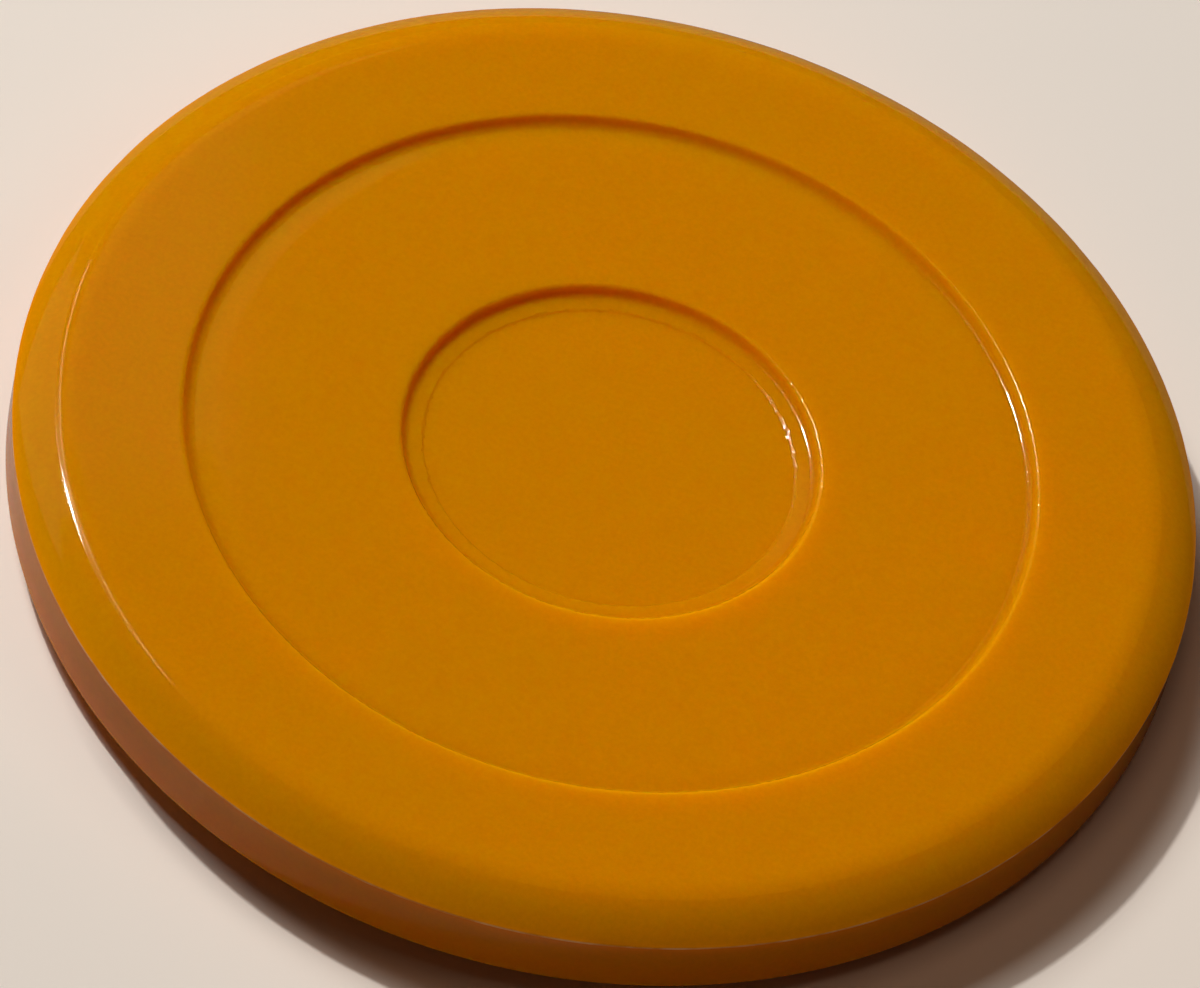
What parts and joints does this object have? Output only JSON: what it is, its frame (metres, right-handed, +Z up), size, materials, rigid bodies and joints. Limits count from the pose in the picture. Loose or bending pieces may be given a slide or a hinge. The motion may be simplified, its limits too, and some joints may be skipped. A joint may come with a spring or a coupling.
{
  "type": "air hockey puck",
  "caption": "Round air-hockey puck with stepped, dished faces, rounded shoulders and a plain upright rim, moulded as two closed shells.",
  "frame": {"origin": "centre of the lower resting face", "axes": "+Z up through the puck, from the lower resting face to the upper one; X and Y are free, because the outside is round"},
  "size_m": [0.0636, 0.0636, 0.0061],
  "materials": {
    "orange_plastic": "gloss"
  },
  "bodies": {
    "root": {"upper_shell": "orange_plastic", "lower_shell": "orange_plastic"}
  },
  "joints": []
}
